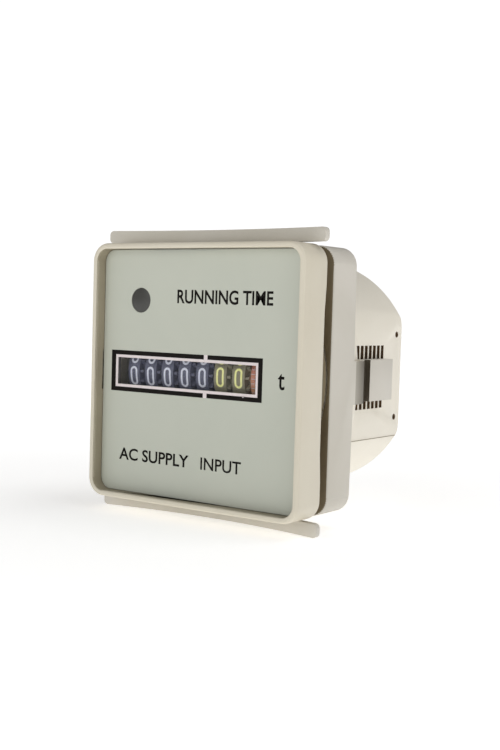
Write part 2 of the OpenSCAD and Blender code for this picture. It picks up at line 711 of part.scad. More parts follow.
module frame_screw(s) color("#c9ccd0") difference() {
    union() {
        rod_y(screw_x, s * screw_z, ledge_y - frame_tab_t - 1.2, ledge_y - frame_tab_t, screw_head_r);
        rod_y(screw_x, s * screw_z, ledge_y - frame_tab_t - 0.5, ledge_y + ledge_len - 0.3, screw_r);
    }
    translate([screw_x - 2, ledge_y - frame_tab_t - 2, s * screw_z - 0.25]) cube([4, 1.3, 0.5]);
}

module plate_screws() color("#c9ccd0")
    for (at = pillars) difference() {
        union() {
            rod_x(at, outer_x0 + outer_t, outer_x0 + outer_t + 0.45, 1.4);
            rod_x(at, plate_x0 + 0.1, outer_x0 + outer_t + 0.2, 0.6);
        }
        translate([outer_x0 + outer_t + 0.25, at[0] - 2, at[1] - 0.2]) cube([1, 4, 0.4]);
    }

front_bezel();
body_shell();
rear_cover();
dial_plate();
window_lens();
indicator_lens();
clamp_frame();
counter_frame();
outer_gear_plate();
number_shaft();
transfer_shaft();
number_wheel(1, "#35343f");  // number_wheel_1
number_wheel(2, "#35343f");  // number_wheel_2
number_wheel(3, "#35343f");  // number_wheel_3
number_wheel(4, "#35343f");  // number_wheel_4
number_wheel(5, "#35343f");  // number_wheel_5
number_wheel(6, "#38373a");  // number_wheel_6
number_wheel(7, "#38373a");  // number_wheel_7
number_wheel(8, "#c2553f");  // number_wheel_8
transfer_pinion(1);  // transfer_pinion_1
transfer_pinion(2);  // transfer_pinion_2
transfer_pinion(3);  // transfer_pinion_3
transfer_pinion(4);  // transfer_pinion_4
transfer_pinion(5);  // transfer_pinion_5
transfer_pinion(6);  // transfer_pinion_6
transfer_pinion(7);  // transfer_pinion_7
fraction_gear();
slow_reduction_gear();
fast_reduction_gear();
motor_case();
coil_bobbin();
coil_winding();
stator_claws();
rotor_magnet();
rotor_shaft();
coil_pins();
circuit_board();
dropper_capacitor();
dropper_resistor();
running_lamp();
lamp_holder();
lamp_leads();
terminal_left();
terminal_right();
frame_screw(1);  // frame_screw_top
frame_screw(-1);  // frame_screw_bottom
plate_screws();
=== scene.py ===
import json
import math

import bpy
from mathutils import Matrix, Vector

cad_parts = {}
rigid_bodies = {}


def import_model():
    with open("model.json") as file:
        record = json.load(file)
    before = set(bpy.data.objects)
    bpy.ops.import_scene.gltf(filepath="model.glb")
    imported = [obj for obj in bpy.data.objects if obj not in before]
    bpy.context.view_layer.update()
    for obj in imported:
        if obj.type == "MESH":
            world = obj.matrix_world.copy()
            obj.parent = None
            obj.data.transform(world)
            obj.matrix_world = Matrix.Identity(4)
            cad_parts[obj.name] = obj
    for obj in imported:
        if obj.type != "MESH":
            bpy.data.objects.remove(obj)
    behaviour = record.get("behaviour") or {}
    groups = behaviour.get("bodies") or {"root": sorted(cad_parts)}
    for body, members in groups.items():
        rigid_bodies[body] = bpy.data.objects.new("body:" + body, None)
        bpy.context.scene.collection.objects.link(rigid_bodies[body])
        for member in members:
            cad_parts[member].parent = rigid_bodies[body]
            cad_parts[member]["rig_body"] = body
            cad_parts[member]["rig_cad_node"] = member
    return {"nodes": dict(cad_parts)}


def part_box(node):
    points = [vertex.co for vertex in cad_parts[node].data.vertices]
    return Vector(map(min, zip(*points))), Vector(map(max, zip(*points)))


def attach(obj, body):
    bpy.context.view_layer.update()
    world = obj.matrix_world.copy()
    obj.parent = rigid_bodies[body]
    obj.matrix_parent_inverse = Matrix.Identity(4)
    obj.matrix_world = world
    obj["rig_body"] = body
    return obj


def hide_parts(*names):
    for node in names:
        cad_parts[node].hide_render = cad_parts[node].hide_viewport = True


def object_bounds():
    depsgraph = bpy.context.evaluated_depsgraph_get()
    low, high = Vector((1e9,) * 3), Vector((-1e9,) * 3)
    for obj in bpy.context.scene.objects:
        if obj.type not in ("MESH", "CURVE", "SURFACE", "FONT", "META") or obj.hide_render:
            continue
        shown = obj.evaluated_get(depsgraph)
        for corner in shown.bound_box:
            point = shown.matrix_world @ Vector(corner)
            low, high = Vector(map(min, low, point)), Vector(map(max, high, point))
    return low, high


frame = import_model()
cadLow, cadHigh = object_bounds()
nodes = frame["nodes"]
mm = 0.001
weldDistance, flatAngle = 2e-6, 0.4    # metres and degrees, for merging a CAD mesh
print("frame loaded")


def pick(obj):
    bpy.ops.object.select_all(action="DESELECT")
    obj.select_set(True)
    bpy.context.view_layer.objects.active = obj
    return obj


def settle(obj):
    # leaves the object at the origin, with its place in its mesh
    pick(obj)
    bpy.ops.object.transform_apply(location=True, rotation=True, scale=True)
    return obj


def applyAll(obj):
    pick(obj)
    for modifier in list(obj.modifiers):
        bpy.ops.object.modifier_apply(modifier=modifier.name)
    return obj


def smooth(obj, degrees=35):
    pick(obj)
    bpy.ops.object.shade_smooth_by_angle(angle=math.radians(degrees))
    return obj


def joinAll(parts, name):
    bpy.ops.object.select_all(action="DESELECT")
    for part in parts:
        part.select_set(True)
    bpy.context.view_layer.objects.active = parts[0]
    if len(parts) > 1:
        bpy.ops.object.join()
    parts[0].name = name
    return parts[0]


def twin(obj, name, shift=(0, 0, 0)):
    # a copy with its own mesh
    made = obj.copy()
    made.data = obj.data.copy()
    made.name = name
    bpy.context.scene.collection.objects.link(made)
    made.data.transform(Matrix.Translation(Vector(shift)))
    return made


def mergedCopy(nodeName, name):
    # the CAD shape as one closed mesh, free to be worked on
    made = nodes[nodeName].copy()
    made.data = nodes[nodeName].data.copy()
    made.parent = None
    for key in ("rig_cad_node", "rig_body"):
        if key in made:
            del made[key]
    made.name = name
    bpy.context.scene.collection.objects.link(made)
    made.data.materials.clear()
    pick(made)
    bpy.ops.object.mode_set(mode="EDIT")
    bpy.ops.mesh.select_all(action="SELECT")
    bpy.ops.mesh.remove_doubles(threshold=weldDistance)
    bpy.ops.mesh.dissolve_limited(angle_limit=math.radians(flatAngle))
    bpy.ops.object.mode_set(mode="OBJECT")
    return made


def selectEdges(obj, test):
    # selects the edges whose two ends pass the test, ready for an operator in edit mode
    pick(obj)
    bpy.ops.object.mode_set(mode="EDIT")
    bpy.ops.mesh.select_mode(type="EDGE")
    bpy.ops.mesh.select_all(action="DESELECT")
    bpy.ops.object.mode_set(mode="OBJECT")
    points = obj.data.vertices
    for edge in obj.data.edges:
        edge.select = bool(test(*(points[i].co for i in edge.vertices)))
    bpy.ops.object.mode_set(mode="EDIT")


def softEdges(obj, width, segments=2, degrees=40):
    bevel = obj.modifiers.new("softEdges", "BEVEL")
    bevel.width, bevel.segments = width, segments
    bevel.limit_method, bevel.angle_limit = "ANGLE", math.radians(degrees)
    bevel.use_clamp_overlap = True
    applyAll(obj)
    return smooth(obj)


def finishPiece(obj, body, material, replaced=()):
    obj.data.materials.clear()
    obj.data.materials.append(material)
    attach(obj, body)
    if replaced:
        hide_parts(*replaced)
    return obj


def secondFinish(obj, material, test):
    # gives another finish to the faces whose middle and normal pass the test
    obj.data.materials.append(material)
    for face in obj.data.polygons:
        if test(face.center, face.normal):
            face.material_index = len(obj.data.materials) - 1
    return obj


def addNode(tree, kind, inputs=None, **settings):
    made = tree.nodes.new(kind)
    for key, value in settings.items():
        setattr(made, key, value)
    for key, value in (inputs or {}).items():
        if isinstance(value, bpy.types.NodeSocket):
            tree.links.new(value, made.inputs[key])
        else:
            made.inputs[key].default_value = value
    return made


def noiseOf(tree, place, scale, detail, roughness=0.5, distortion=0.0):
    made = addNode(tree, "ShaderNodeTexNoise", {"Vector": place, "Scale": scale, "Detail": detail,
                                                "Roughness": roughness, "Distortion": distortion})
    return made.outputs["Fac"]


def maths(tree, operation, first, second=0.5, clamp=False):
    made = addNode(tree, "ShaderNodeMath", {0: first, 1: second}, operation=operation, use_clamp=clamp)
    return made.outputs[0]


def mapRange(tree, value, low, high, newLow=0.0, newHigh=1.0):
    made = addNode(tree, "ShaderNodeMapRange", {"Value": value, "From Min": low, "From Max": high,
                                                "To Min": newLow, "To Max": newHigh})
    return made.outputs["Result"]


def mixColours(tree, factor, first, second):
    # a Mix node takes its two colours at 6 and 7, and gives the mixed one at 2
    made = addNode(tree, "ShaderNodeMix", {0: factor, 6: first, 7: second}, data_type="RGBA")
    return made.outputs[2]


def newGroup(name, ins, outs):
    group = bpy.data.node_groups.new(name, "ShaderNodeTree")
    for label, kind, value in ins:
        group.interface.new_socket(name=label, in_out="INPUT", socket_type=kind).default_value = value
    for label, kind in outs:
        group.interface.new_socket(name=label, in_out="OUTPUT", socket_type=kind)
    return group, addNode(group, "NodeGroupInput").outputs, addNode(group, "NodeGroupOutput").inputs


floatSocket, colourSocket, vectorSocket = "NodeSocketFloat", "NodeSocketColor", "NodeSocketVector"


def makeToneGroup():
    # slow drift between two tones, with sparse darker specks in the material
    group, given, out = newGroup("toneDrift", [
        ("Place", vectorSocket, (0, 0, 0)), ("Tone", colourSocket, (0.8, 0.8, 0.8, 1)),
        ("Other Tone", colourSocket, (0.7, 0.7, 0.7, 1)), ("Drift Scale", floatSocket, 60),
        ("Speck Scale", floatSocket, 1500), ("Specks", floatSocket, 0.1),
        ("Speck Tone", colourSocket, (0.3, 0.27, 0.22, 1))], [("Colour", colourSocket)])
    drift = noiseOf(group, given["Place"], given["Drift Scale"], 4.0, roughness=0.6, distortion=0.6)
    tone = mixColours(group, mapRange(group, drift, 0.32, 0.68), given["Tone"], given["Other Tone"])
    cells = addNode(group, "ShaderNodeTexVoronoi", {"Vector": given["Place"],
                                                    "Scale": given["Speck Scale"]})
    spot = mapRange(group, cells.outputs["Distance"], 0.1, 0.02)
    parts = addNode(group, "ShaderNodeSeparateColor", {"Color": cells.outputs["Color"]})
    few = maths(group, "GREATER_THAN", parts.outputs["Red"], 0.8)
    much = maths(group, "MULTIPLY", maths(group, "MULTIPLY", spot, few), given["Specks"])
    group.links.new(mixColours(group, much, tone, given["Speck Tone"]), out["Colour"])
    return group


def makeGrainGroup():
    # fine relief of a moulded or painted skin, and the gloss that changes with it
    group, given, out = newGroup("skinGrain", [
        ("Place", vectorSocket, (0, 0, 0)), ("Grain Scale", floatSocket, 4000),
        ("Wave Scale", floatSocket, 250), ("Wave", floatSocket, 0.4), ("Gloss", floatSocket, 0.4),
        ("Gloss Spread", floatSocket, 0.08)], [("Height", floatSocket), ("Roughness", floatSocket)])
    fine = noiseOf(group, given["Place"], given["Grain Scale"], 3.0)
    slow = noiseOf(group, given["Place"], given["Wave Scale"], 2.0)
    height = maths(group, "ADD", fine, maths(group, "MULTIPLY", slow, given["Wave"]))
    spread = maths(group, "MULTIPLY", maths(group, "SUBTRACT", slow, 0.5), given["Gloss Spread"])
    group.links.new(height, out["Height"])
    group.links.new(maths(group, "ADD", spread, given["Gloss"], clamp=True), out["Roughness"])
    return group


def makeWearGroup():
    # a mask along the edges, broken up by noise: rubbed wear on handled edges, and on the clamp a painted
    # highlight where its edges would catch the light
    group, given, out = newGroup("edgeWearAndHighlight", [
        ("Place", vectorSocket, (0, 0, 0)), ("Reach", floatSocket, 0.0003),
        ("Amount", floatSocket, 0.3)], [("Mask", floatSocket)])
    rounded = addNode(group, "ShaderNodeBevel", {"Radius": given["Reach"]}, samples=4)
    shape = addNode(group, "ShaderNodeNewGeometry")
    alike = addNode(group, "ShaderNodeVectorMath", {0: rounded.outputs[0], 1: shape.outputs["Normal"]},
                    operation="DOT_PRODUCT")
    edge = mapRange(group, alike.outputs["Value"], 0.93, 0.72)
    patch = mapRange(group, noiseOf(group, given["Place"], 700.0, 5.0), 0.4, 0.62)
    both = maths(group, "MULTIPLY", edge, patch)
    group.links.new(maths(group, "MULTIPLY", both, given["Amount"], clamp=True), out["Mask"])
    return group


def makeDustGroup():
    # a thin film that gathers on upward faces
    group, given, out = newGroup("restingDust", [
        ("Place", vectorSocket, (0, 0, 0)), ("Amount", floatSocket, 0.15)], [("Mask", floatSocket)])
    shape = addNode(group, "ShaderNodeNewGeometry")
    up = addNode(group, "ShaderNodeSeparateXYZ", {0: shape.outputs["Normal"]})
    level = mapRange(group, up.outputs["Z"], 0.3, 1.0)
    patch = mapRange(group, noiseOf(group, given["Place"], 260.0, 6.0), 0.35, 0.75)
    both = maths(group, "MULTIPLY", level, patch)
    group.links.new(maths(group, "MULTIPLY", both, given["Amount"], clamp=True), out["Mask"])
    return group


toneGroup, grainGroup = makeToneGroup(), makeGrainGroup()
wearAndHighlightGroup, dustGroup = makeWearGroup(), makeDustGroup()


def screenTone(red, green, blue):
    # a screen colour of 0 to 255 as the linear colour that a shader takes
    def linear(value):
        value /= 255
        return value / 12.92 if value <= 0.04045 else ((value + 0.055) / 1.055) ** 2.4
    return (linear(red), linear(green), linear(blue), 1)


def makeFinish(name, tone, other=None, drift=60, specks=0.1, speckTone=(90, 80, 66), speckScale=900,
               grain=4000, grainDepth=0.02, wave=0.4, waveScale=250, gloss=0.4, spread=0.08,
               wearAndHighlight=0.3, wearAndHighlightTone=None, wearAndHighlightReach=0.3, dust=0.1, dustTone=(214, 208, 196),
               metallic=0.0, coat=0.0, stretch=(1, 1, 1), alpha=1.0, ior=1.5,
               bands=None, paintedShadeFade=None, glow=0.0):
    material = bpy.data.materials.new(name)
    material.use_nodes = True
    tree = material.node_tree
    place = addNode(tree, "ShaderNodeTexCoord").outputs["Object"]
    drawn = addNode(tree, "ShaderNodeMapping", {"Vector": place, "Scale": stretch}).outputs[0]
    tones = addNode(tree, "ShaderNodeGroup", node_tree=toneGroup, inputs={
        "Place": drawn, "Tone": screenTone(*tone), "Other Tone": screenTone(*(other or tone)),
        "Drift Scale": drift, "Speck Scale": speckScale, "Specks": specks,
        "Speck Tone": screenTone(*speckTone)})
    grains = addNode(tree, "ShaderNodeGroup", node_tree=grainGroup, inputs={
        "Place": drawn, "Grain Scale": grain, "Wave Scale": waveScale, "Wave": wave,
        "Gloss": gloss, "Gloss Spread": spread})
    colour = tones.outputs["Colour"]
    if bands:
        # even rings along one axis, as of turned metal or wound wire
        rings = addNode(tree, "ShaderNodeTexWave", bands_direction=bands["axis"], inputs={
            "Vector": place, "Scale": bands["scale"], "Distortion": 0.4})
        colour = mixColours(tree, rings.outputs["Fac"], colour, screenTone(*bands["tone"]))
    if paintedShadeFade:
        # painted shade: the tone changes along one axis of the object, from the first place to the second
        parts = addNode(tree, "ShaderNodeSeparateXYZ", {0: place})
        level = maths(tree, "ABSOLUTE", parts.outputs[paintedShadeFade["axis"]])
        reach = mapRange(tree, level, paintedShadeFade["start"] * mm, paintedShadeFade["end"] * mm)
        colour = mixColours(tree, reach, colour, screenTone(*paintedShadeFade["tone"]))
    # edges take the edge tone: wear on most finishes, and on the clamp a painted highlight along its edges
    if wearAndHighlight:
        wearAndHighlightMask = addNode(tree, "ShaderNodeGroup", node_tree=wearAndHighlightGroup, inputs={
            "Place": place, "Reach": wearAndHighlightReach * mm, "Amount": wearAndHighlight})
        colour = mixColours(tree, wearAndHighlightMask.outputs["Mask"], colour, screenTone(*(wearAndHighlightTone or tone)))
    if dust:
        dusty = addNode(tree, "ShaderNodeGroup", node_tree=dustGroup, inputs={
            "Place": place, "Amount": dust})
        colour = mixColours(tree, dusty.outputs["Mask"], colour, screenTone(*dustTone))
    bump = addNode(tree, "ShaderNodeBump", {"Height": grains.outputs["Height"], "Strength": 0.6,
                                            "Distance": grainDepth * mm})
    shader = tree.nodes["Principled BSDF"]
    tree.links.new(colour, shader.inputs["Base Color"])
    tree.links.new(grains.outputs["Roughness"], shader.inputs["Roughness"])
    tree.links.new(bump.outputs[0], shader.inputs["Normal"])
    # glow is an emission of the finish's own tone, a painted glow
    plain = {"Metallic": metallic, "Coat Weight": coat, "Coat Roughness": 0.12, "Alpha": alpha,
             "IOR": ior, "Emission Color": screenTone(*tone), "Emission Strength": glow}
    for label, value in plain.items():
        shader.inputs[label].default_value = value
    return material


finishes = {
    "bezel": makeFinish("bezelPlastic", (223, 216, 198), (219, 211, 192), drift=45, specks=0.2,
                        gloss=0.38, grainDepth=0.012, wearAndHighlight=0.5, wearAndHighlightTone=(240, 235, 224), dust=0.1),
    "body": makeFinish("bodyPlastic", (244, 238, 225), (239, 233, 218), drift=40, specks=0.25, gloss=0.42,
                       grainDepth=0.014, wearAndHighlight=0.4, wearAndHighlightTone=(244, 240, 231)),
    # the clamp's lighter edge tone is a painted highlight along its rounded edges, together with a little
    # wear
    "clamp": makeFinish("clampPlastic", (214, 209, 199), (208, 203, 191), drift=50, specks=0.2,
                        gloss=0.45, grainDepth=0.02, wearAndHighlight=0.12, wearAndHighlightReach=0.3, wearAndHighlightTone=(226, 222, 213)),
    # painted shade: the bezel's inner wall is given a darker tone than the rest of the bezel
    "bezelInsideShade": makeFinish("bezelInnerWallShade", (178, 168, 146), (168, 158, 136), drift=90, specks=0.3,
                              gloss=0.5, grainDepth=0.015, wearAndHighlight=0.3, wearAndHighlightTone=(206, 198, 178)),
    # painted shade: the clamp's front face, in the gap behind the bezel, is given a dark tone, and its
    # lighter edge tone is a painted highlight on the rounded edge
    "clampRecessShade": makeFinish("clampRecessShade", (124, 111, 85), (112, 99, 76), drift=120, specks=0.4,
                              gloss=0.55, grainDepth=0.03, wearAndHighlight=0.6, wearAndHighlightReach=0.4,
                              wearAndHighlightTone=(176, 166, 146)),
    # painted shade: the arms' outer faces are darker than the clamp and darken further towards the pad
    "armValleyShade": makeFinish("armValleyShade", (188, 182, 170), (182, 176, 162), drift=70, specks=0.2,
                            gloss=0.5, grainDepth=0.02, wearAndHighlight=0.2, wearAndHighlightTone=(214, 208, 196),
                            paintedShadeFade={"axis": "Y", "start": 11.2, "end": 16.6, "tone": (78, 70, 56)}),
    "collarShade": makeFinish("collarShade", (104, 92, 68), (96, 84, 62), drift=150, specks=0.4,
                              gloss=0.6, wearAndHighlight=0, dust=0.05,
                              paintedShadeFade={"axis": "Y", "start": 0.9, "end": 2.9, "tone": (156, 143, 116)}),
    # painted shadow: a dark tone for the thin strand along the lower edge of each side flat
    "sideShadowLine": makeFinish("sideShadowLine", (150, 138, 116), (138, 126, 104), drift=300, specks=0, gloss=0.5,
                           wearAndHighlight=0, dust=0.1),
    # painted shade: a dark brown tone for the walls of the slots and snap holes and for what is seen through
    # them
    "slotWallShade": makeFinish("slotWallShade", (120, 96, 68), (104, 82, 58), drift=300, specks=0.3, gloss=0.5,
                           wearAndHighlight=0, dust=0),
    # painted shade: a dark tone for the sleeve that lines the window's cut
    "liner": makeFinish("windowShadeLiner", (92, 90, 88), (84, 82, 80), drift=300, specks=0, gloss=0.5, wearAndHighlight=0,
                        dust=0),
    "dial": makeFinish("dialPaint", (200, 203, 190), (195, 199, 186), drift=30, specks=0.12,
                       speckScale=1600, grain=6000, grainDepth=0.006, gloss=0.42, spread=0.05, wearAndHighlight=0.2,
                       wearAndHighlightTone=(150, 150, 146)),
    "ink": makeFinish("printInk", (20, 18, 16), (28, 25, 22), drift=700, specks=0, grain=9000,
                      grainDepth=0.004, gloss=0.7, ior=1.2, wearAndHighlight=0, dust=0.05),
    "paleInk": makeFinish("palePrintInk", (236, 226, 226), (228, 218, 218), drift=700, specks=0,
                          grain=9000, grainDepth=0.004, gloss=0.5, wearAndHighlight=0, dust=0),
    "lens": makeFinish("clearWindow", (70, 72, 76), drift=90, specks=0.1, grain=900, grainDepth=0.002,
                       gloss=0.06, spread=0.04, wearAndHighlight=0, dust=0, alpha=0.1),
    "smoke": makeFinish("smokedLens", (68, 68, 64), (60, 60, 57), drift=300, specks=0, grain=1500,
                        grainDepth=0.004, gloss=0.3, wearAndHighlight=0.2, wearAndHighlightTone=(120, 118, 110), dust=0.05),
    "drum": makeFinish("drumPlastic", (116, 119, 142), (107, 110, 133), drift=200, specks=0.2, gloss=0.5,
                       wearAndHighlight=0.4, wearAndHighlightTone=(128, 128, 146), speckTone=(150, 148, 160)),
    "warmDrum": makeFinish("warmDrumPlastic", (168, 163, 138), (156, 151, 127), drift=200, specks=0.2,
                           gloss=0.5, wearAndHighlight=0.4, wearAndHighlightTone=(158, 152, 130), speckTone=(160, 158, 146)),
    "redDrum": makeFinish("redDrumPlastic", (246, 190, 138), (226, 142, 124), drift=200, specks=0.1,
                          gloss=0.45, wearAndHighlight=0.4, wearAndHighlightTone=(222, 140, 110)),
    # the two sets of figures glow with their own tones, as painted light
    "figure": makeFinish("paleFigures", (240, 242, 254), (226, 230, 248), drift=900, specks=0, gloss=0.5,
                         wearAndHighlight=0, dust=0, grain=8000, grainDepth=0.004, glow=0.16),
    "yellowFigure": makeFinish("yellowFigures", (246, 246, 176), (236, 234, 140), drift=900, specks=0,
                               gloss=0.5, wearAndHighlight=0, dust=0, grain=8000, grainDepth=0.004, glow=0.3),
    "frame": makeFinish("framePlastic", (132, 129, 126), (118, 115, 113), specks=0.2, gloss=0.5,
                        wearAndHighlightTone=(84, 82, 86), speckTone=(90, 88, 92)),
    "board": makeFinish("brownBoard", (150, 104, 66), (136, 92, 58), drift=500, specks=0.5,
                        speckTone=(96, 62, 38), gloss=0.45, stretch=(1, 1, 3), wearAndHighlightTone=(184, 140, 98)),
    "paperBoard": makeFinish("paperBoard", (178, 140, 84), (166, 128, 74), drift=600, specks=0.5,
                             speckTone=(128, 92, 48), gloss=0.4, stretch=(3, 1, 1),
                             wearAndHighlightTone=(200, 170, 120)),
    "gear": makeFinish("gearPlastic", (222, 218, 205), (214, 210, 196), gloss=0.4, specks=0.1),
    "steel": makeFinish("shaftSteel", (186, 188, 192), (168, 170, 176), drift=900, specks=0,
                        stretch=(0.15, 1, 1), grain=3000, gloss=0.28, metallic=1.0, wearAndHighlight=0.3,
                        wearAndHighlightTone=(220, 220, 224)),
    "zinc": makeFinish("zincSteel", (168, 170, 172), (150, 153, 158), drift=300, specks=0.4,
                       speckTone=(200, 204, 210), gloss=0.42, spread=0.2, metallic=1.0, wearAndHighlight=0.4,
                       wearAndHighlightTone=(206, 206, 210)),
    "copper": makeFinish("windingCopper", (190, 98, 40), (168, 80, 30), drift=600, specks=0, gloss=0.3,
                         metallic=0.8, coat=0.5, wearAndHighlight=0, dust=0,
                         bands={"scale": 1300, "axis": "X", "tone": (118, 56, 22)}),
    "magnet": makeFinish("magnetFerrite", (64, 64, 68), (54, 54, 58), drift=500, specks=0.5,
                         speckTone=(100, 100, 106), gloss=0.55, wearAndHighlightTone=(104, 104, 108)),
    "capacitor": makeFinish("capacitorCase", (204, 160, 48), (192, 148, 40), gloss=0.3, specks=0.2,
                            coat=0.3, wearAndHighlightTone=(226, 190, 96)),
    "resistor": makeFinish("resistorBody", (196, 180, 146), (184, 168, 132), gloss=0.35, specks=0.1),
    "lamp": makeFinish("lampGlass", (236, 206, 170), (226, 190, 150), drift=400, specks=0, gloss=0.1,
                       coat=1.0, wearAndHighlight=0, dust=0, grainDepth=0.002),
    "brass": makeFinish("terminalBrass", (208, 184, 122), (190, 164, 104), drift=400, specks=0.2,
                        gloss=0.3, spread=0.2, metallic=1.0, stretch=(1, 0.2, 1), wearAndHighlight=0.4,
                        wearAndHighlightTone=(232, 216, 166)),
}
print("finishes made")


# far corners of the main shells, and the faces and sizes that the small pieces are placed by
bezelHigh, bodyHigh, clampHigh, coverHigh = (
    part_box(name)[1] for name in ("front_bezel", "body_shell", "clamp_frame", "rear_cover"))
dialLow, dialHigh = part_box("dial_plate")
dialFace = dialLow.y
drumLow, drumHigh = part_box("number_wheel_1")
drumAxisY = (drumLow.y + drumHigh.y) / 2
drumRadius = (drumHigh.y - drumLow.y) / 2

flatX = 20.9    # from the middle to the body's side flats
touching = 1e-5    # places closer than this, in metres, are the same
facing, across = 0.8, 0.3    # a normal's share along an axis: square to it at least, edge on at most


bezelSettings = {"edge": 0.1, "rimDepth": 0.9, "reliefHalf": 18.5, "reliefTaper": 0.72,
                 "reliefFromX": 23, "reliefBackY": -0.1}


def buildBezel():
    b = bezelSettings
    piece = mergedCopy("front_bezel", "bezelFrame")
    # the relief in the rear edge of both sides runs out gently instead of ending in a step
    relief, fromX, backY = b["reliefHalf"] * mm, b["reliefFromX"] * mm, b["reliefBackY"] * mm
    selectEdges(piece, lambda start, end: all(
        abs(abs(p.z) - relief) < touching and p.y < backY and abs(p.x) > fromX for p in (start, end)))
    bpy.ops.transform.resize(value=(1, 1, b["reliefTaper"]), center_override=(0, 0, 0))
    bpy.ops.object.mode_set(mode="OBJECT")
    softEdges(piece, b["edge"] * mm)
    finishPiece(piece, "housing", finishes["bezel"], ["front_bezel"])
    inside = bezelHigh.x - b["rimDepth"] * mm
    # the wall that runs from the rim down to the dial faces the middle of the front, and is given a darker
    # tone as painted shade
    return secondFinish(piece, finishes["bezelInsideShade"], lambda spot, normal: (
        abs(normal.y) < across and spot.y < dialHigh.y and spot.x * normal.x + spot.z * normal.z < 0
        and max(abs(spot.x), abs(spot.z)) < inside))


bodySettings = {"edge": 0.14, "collar": 24.9, "collarBack": 2.9, "collarSlack": 0.2, "collarTilt": 0.5,
                "wall": 2, "skin": 0.12, "slotEnd": 6.62, "holesFrom": 7.6, "holesTo": 10,
                "slotsFrom": 20, "rearRim": 1}


def buildBody():
    b = bodySettings
    piece = mergedCopy("body_shell", "bodyHousing")
    softEdges(piece, b["edge"] * mm)
    finishPiece(piece, "housing", finishes["body"], ["body_shell"])
    # the round collar between the bezel and the clamp lies in their shade
    secondFinish(piece, finishes["collarShade"], lambda spot, normal: (
        spot.y < b["collarBack"] * mm and abs(normal.y) < b["collarTilt"]
        and abs(math.hypot(spot.x, spot.z) - b["collar"] * mm) < b["collarSlack"] * mm))
    # the walls of the ratchet slots and of the snap holes, in the side flats, are given a dark tone as
    # painted shade
    return secondFinish(piece, finishes["slotWallShade"], lambda spot, normal: (
        (flatX - b["wall"]) * mm < abs(spot.x) < (flatX - b["skin"]) * mm
        and b["slotsFrom"] * mm < spot.y < bodyHigh.y - b["rearRim"] * mm and abs(normal.x) < across
        and (abs(spot.z) < b["slotEnd"] * mm or b["holesFrom"] * mm < abs(spot.z) < b["holesTo"] * mm)))


clampSettings = {"outline": 0.45, "smallEdge": 0.07, "front": 2.8, "back": 11.4, "barReach": 0.75,
                 "corner": 3.7, "flatSlack": 0.02, "cornerSlack": 0.03, "recessSlack": 0.3,
                 "armFromX": 21, "armHalf": 5, "armFront": 11.5, "armBack": 21.86}


def onOutline(p, half):
    # true on the rounded square's outline, which the round bore's edge isn't on
    c = clampSettings
    middle = half - c["corner"] * mm
    outX, outZ = max(abs(p.x) - middle, 0), max(abs(p.z) - middle, 0)
    return (abs(max(abs(p.x), abs(p.z)) - half) < c["flatSlack"] * mm
            or abs(math.hypot(outX, outZ) - c["corner"] * mm) < c["cornerSlack"] * mm)


def buildClamp():
    c = clampSettings
    piece = mergedCopy("clamp_frame", "ratchetClamp")
    front, back = c["front"] * mm, c["back"] * mm
    half = clampHigh.x - c["barReach"] * mm
    # the square frame's outer edges, front and back
    selectEdges(piece, lambda start, end: all(
        min(abs(p.y - front), abs(p.y - back)) < touching and onOutline(p, half) for p in (start, end)))
    bpy.ops.mesh.bevel(offset=c["outline"] * mm, segments=3, profile=0.5)
    bpy.ops.object.mode_set(mode="OBJECT")
    softEdges(piece, c["smallEdge"] * mm)
    finishPiece(piece, "clamp", finishes["clamp"], ["clamp_frame"])
    # the clamp's front face, in the gap behind the bezel, gets its dark tone as painted shade
    secondFinish(piece, finishes["clampRecessShade"], lambda spot, normal: (
        abs(spot.y - front) < c["recessSlack"] * mm and normal.y < -facing and abs(spot.z) < half))
    # the outer face of each arm, from the frame to its pad, darkening towards the pad as painted shade
    return secondFinish(piece, finishes["armValleyShade"], lambda spot, normal: (
        abs(spot.x) > c["armFromX"] * mm and abs(spot.z) < c["armHalf"] * mm
        and c["armFront"] * mm < spot.y < c["armBack"] * mm
        and (spot.x * normal.x > 0 and abs(normal.x) > across or normal.y < -facing)))


coverSettings = {"edge": 0.12, "skirtIn": 0.3, "skirtFrom": 7, "skirtTo": 11, "plate": 2}


def buildCover():
    c = coverSettings
    piece = mergedCopy("rear_cover", "rearCap")
    softEdges(piece, c["edge"] * mm)
    finishPiece(piece, "housing", finishes["body"], ["rear_cover"])
    # the skirt and its pegs inside the body are seen only in the dark of the snap holes, and are given the
    # same dark tone as painted shade
    return secondFinish(piece, finishes["slotWallShade"], lambda spot, normal: (
        abs(normal.x) > facing and abs(spot.x) < (flatX - c["skirtIn"]) * mm
        and c["skirtFrom"] * mm < abs(spot.z) < c["skirtTo"] * mm
        and spot.y < coverHigh.y - c["plate"] * mm))


lineSettings = {"radius": 0.07, "height": -12.98, "back": 38.6, "front": 16.2}


def buildSideLines():
    # a thin dark strand along the lower edge of each side flat, a painted shadow line
    s = lineSettings
    for side in (1, -1):
        bpy.ops.curve.primitive_bezier_curve_add(location=(0, 0, 0))
        line = bpy.context.object
        line.name = f"sideShadowLine{'Right' if side > 0 else 'Left'}"
        path = line.data.splines[0]
        for point, y in zip(path.bezier_points, (s["back"], s["front"])):
            point.handle_left_type = point.handle_right_type = "VECTOR"
            point.co = (side * flatX * mm, y * mm, s["height"] * mm)
        line.data.bevel_depth = s["radius"] * mm
        line.data.bevel_resolution = 2
        line.data.use_fill_caps = True
        pick(line)
        bpy.ops.object.convert(target="MESH")
        finishPiece(bpy.context.object, "housing", finishes["sideShadowLine"])


smallSettings = {"tabEdge": 0.1, "discEdge": 0.18}


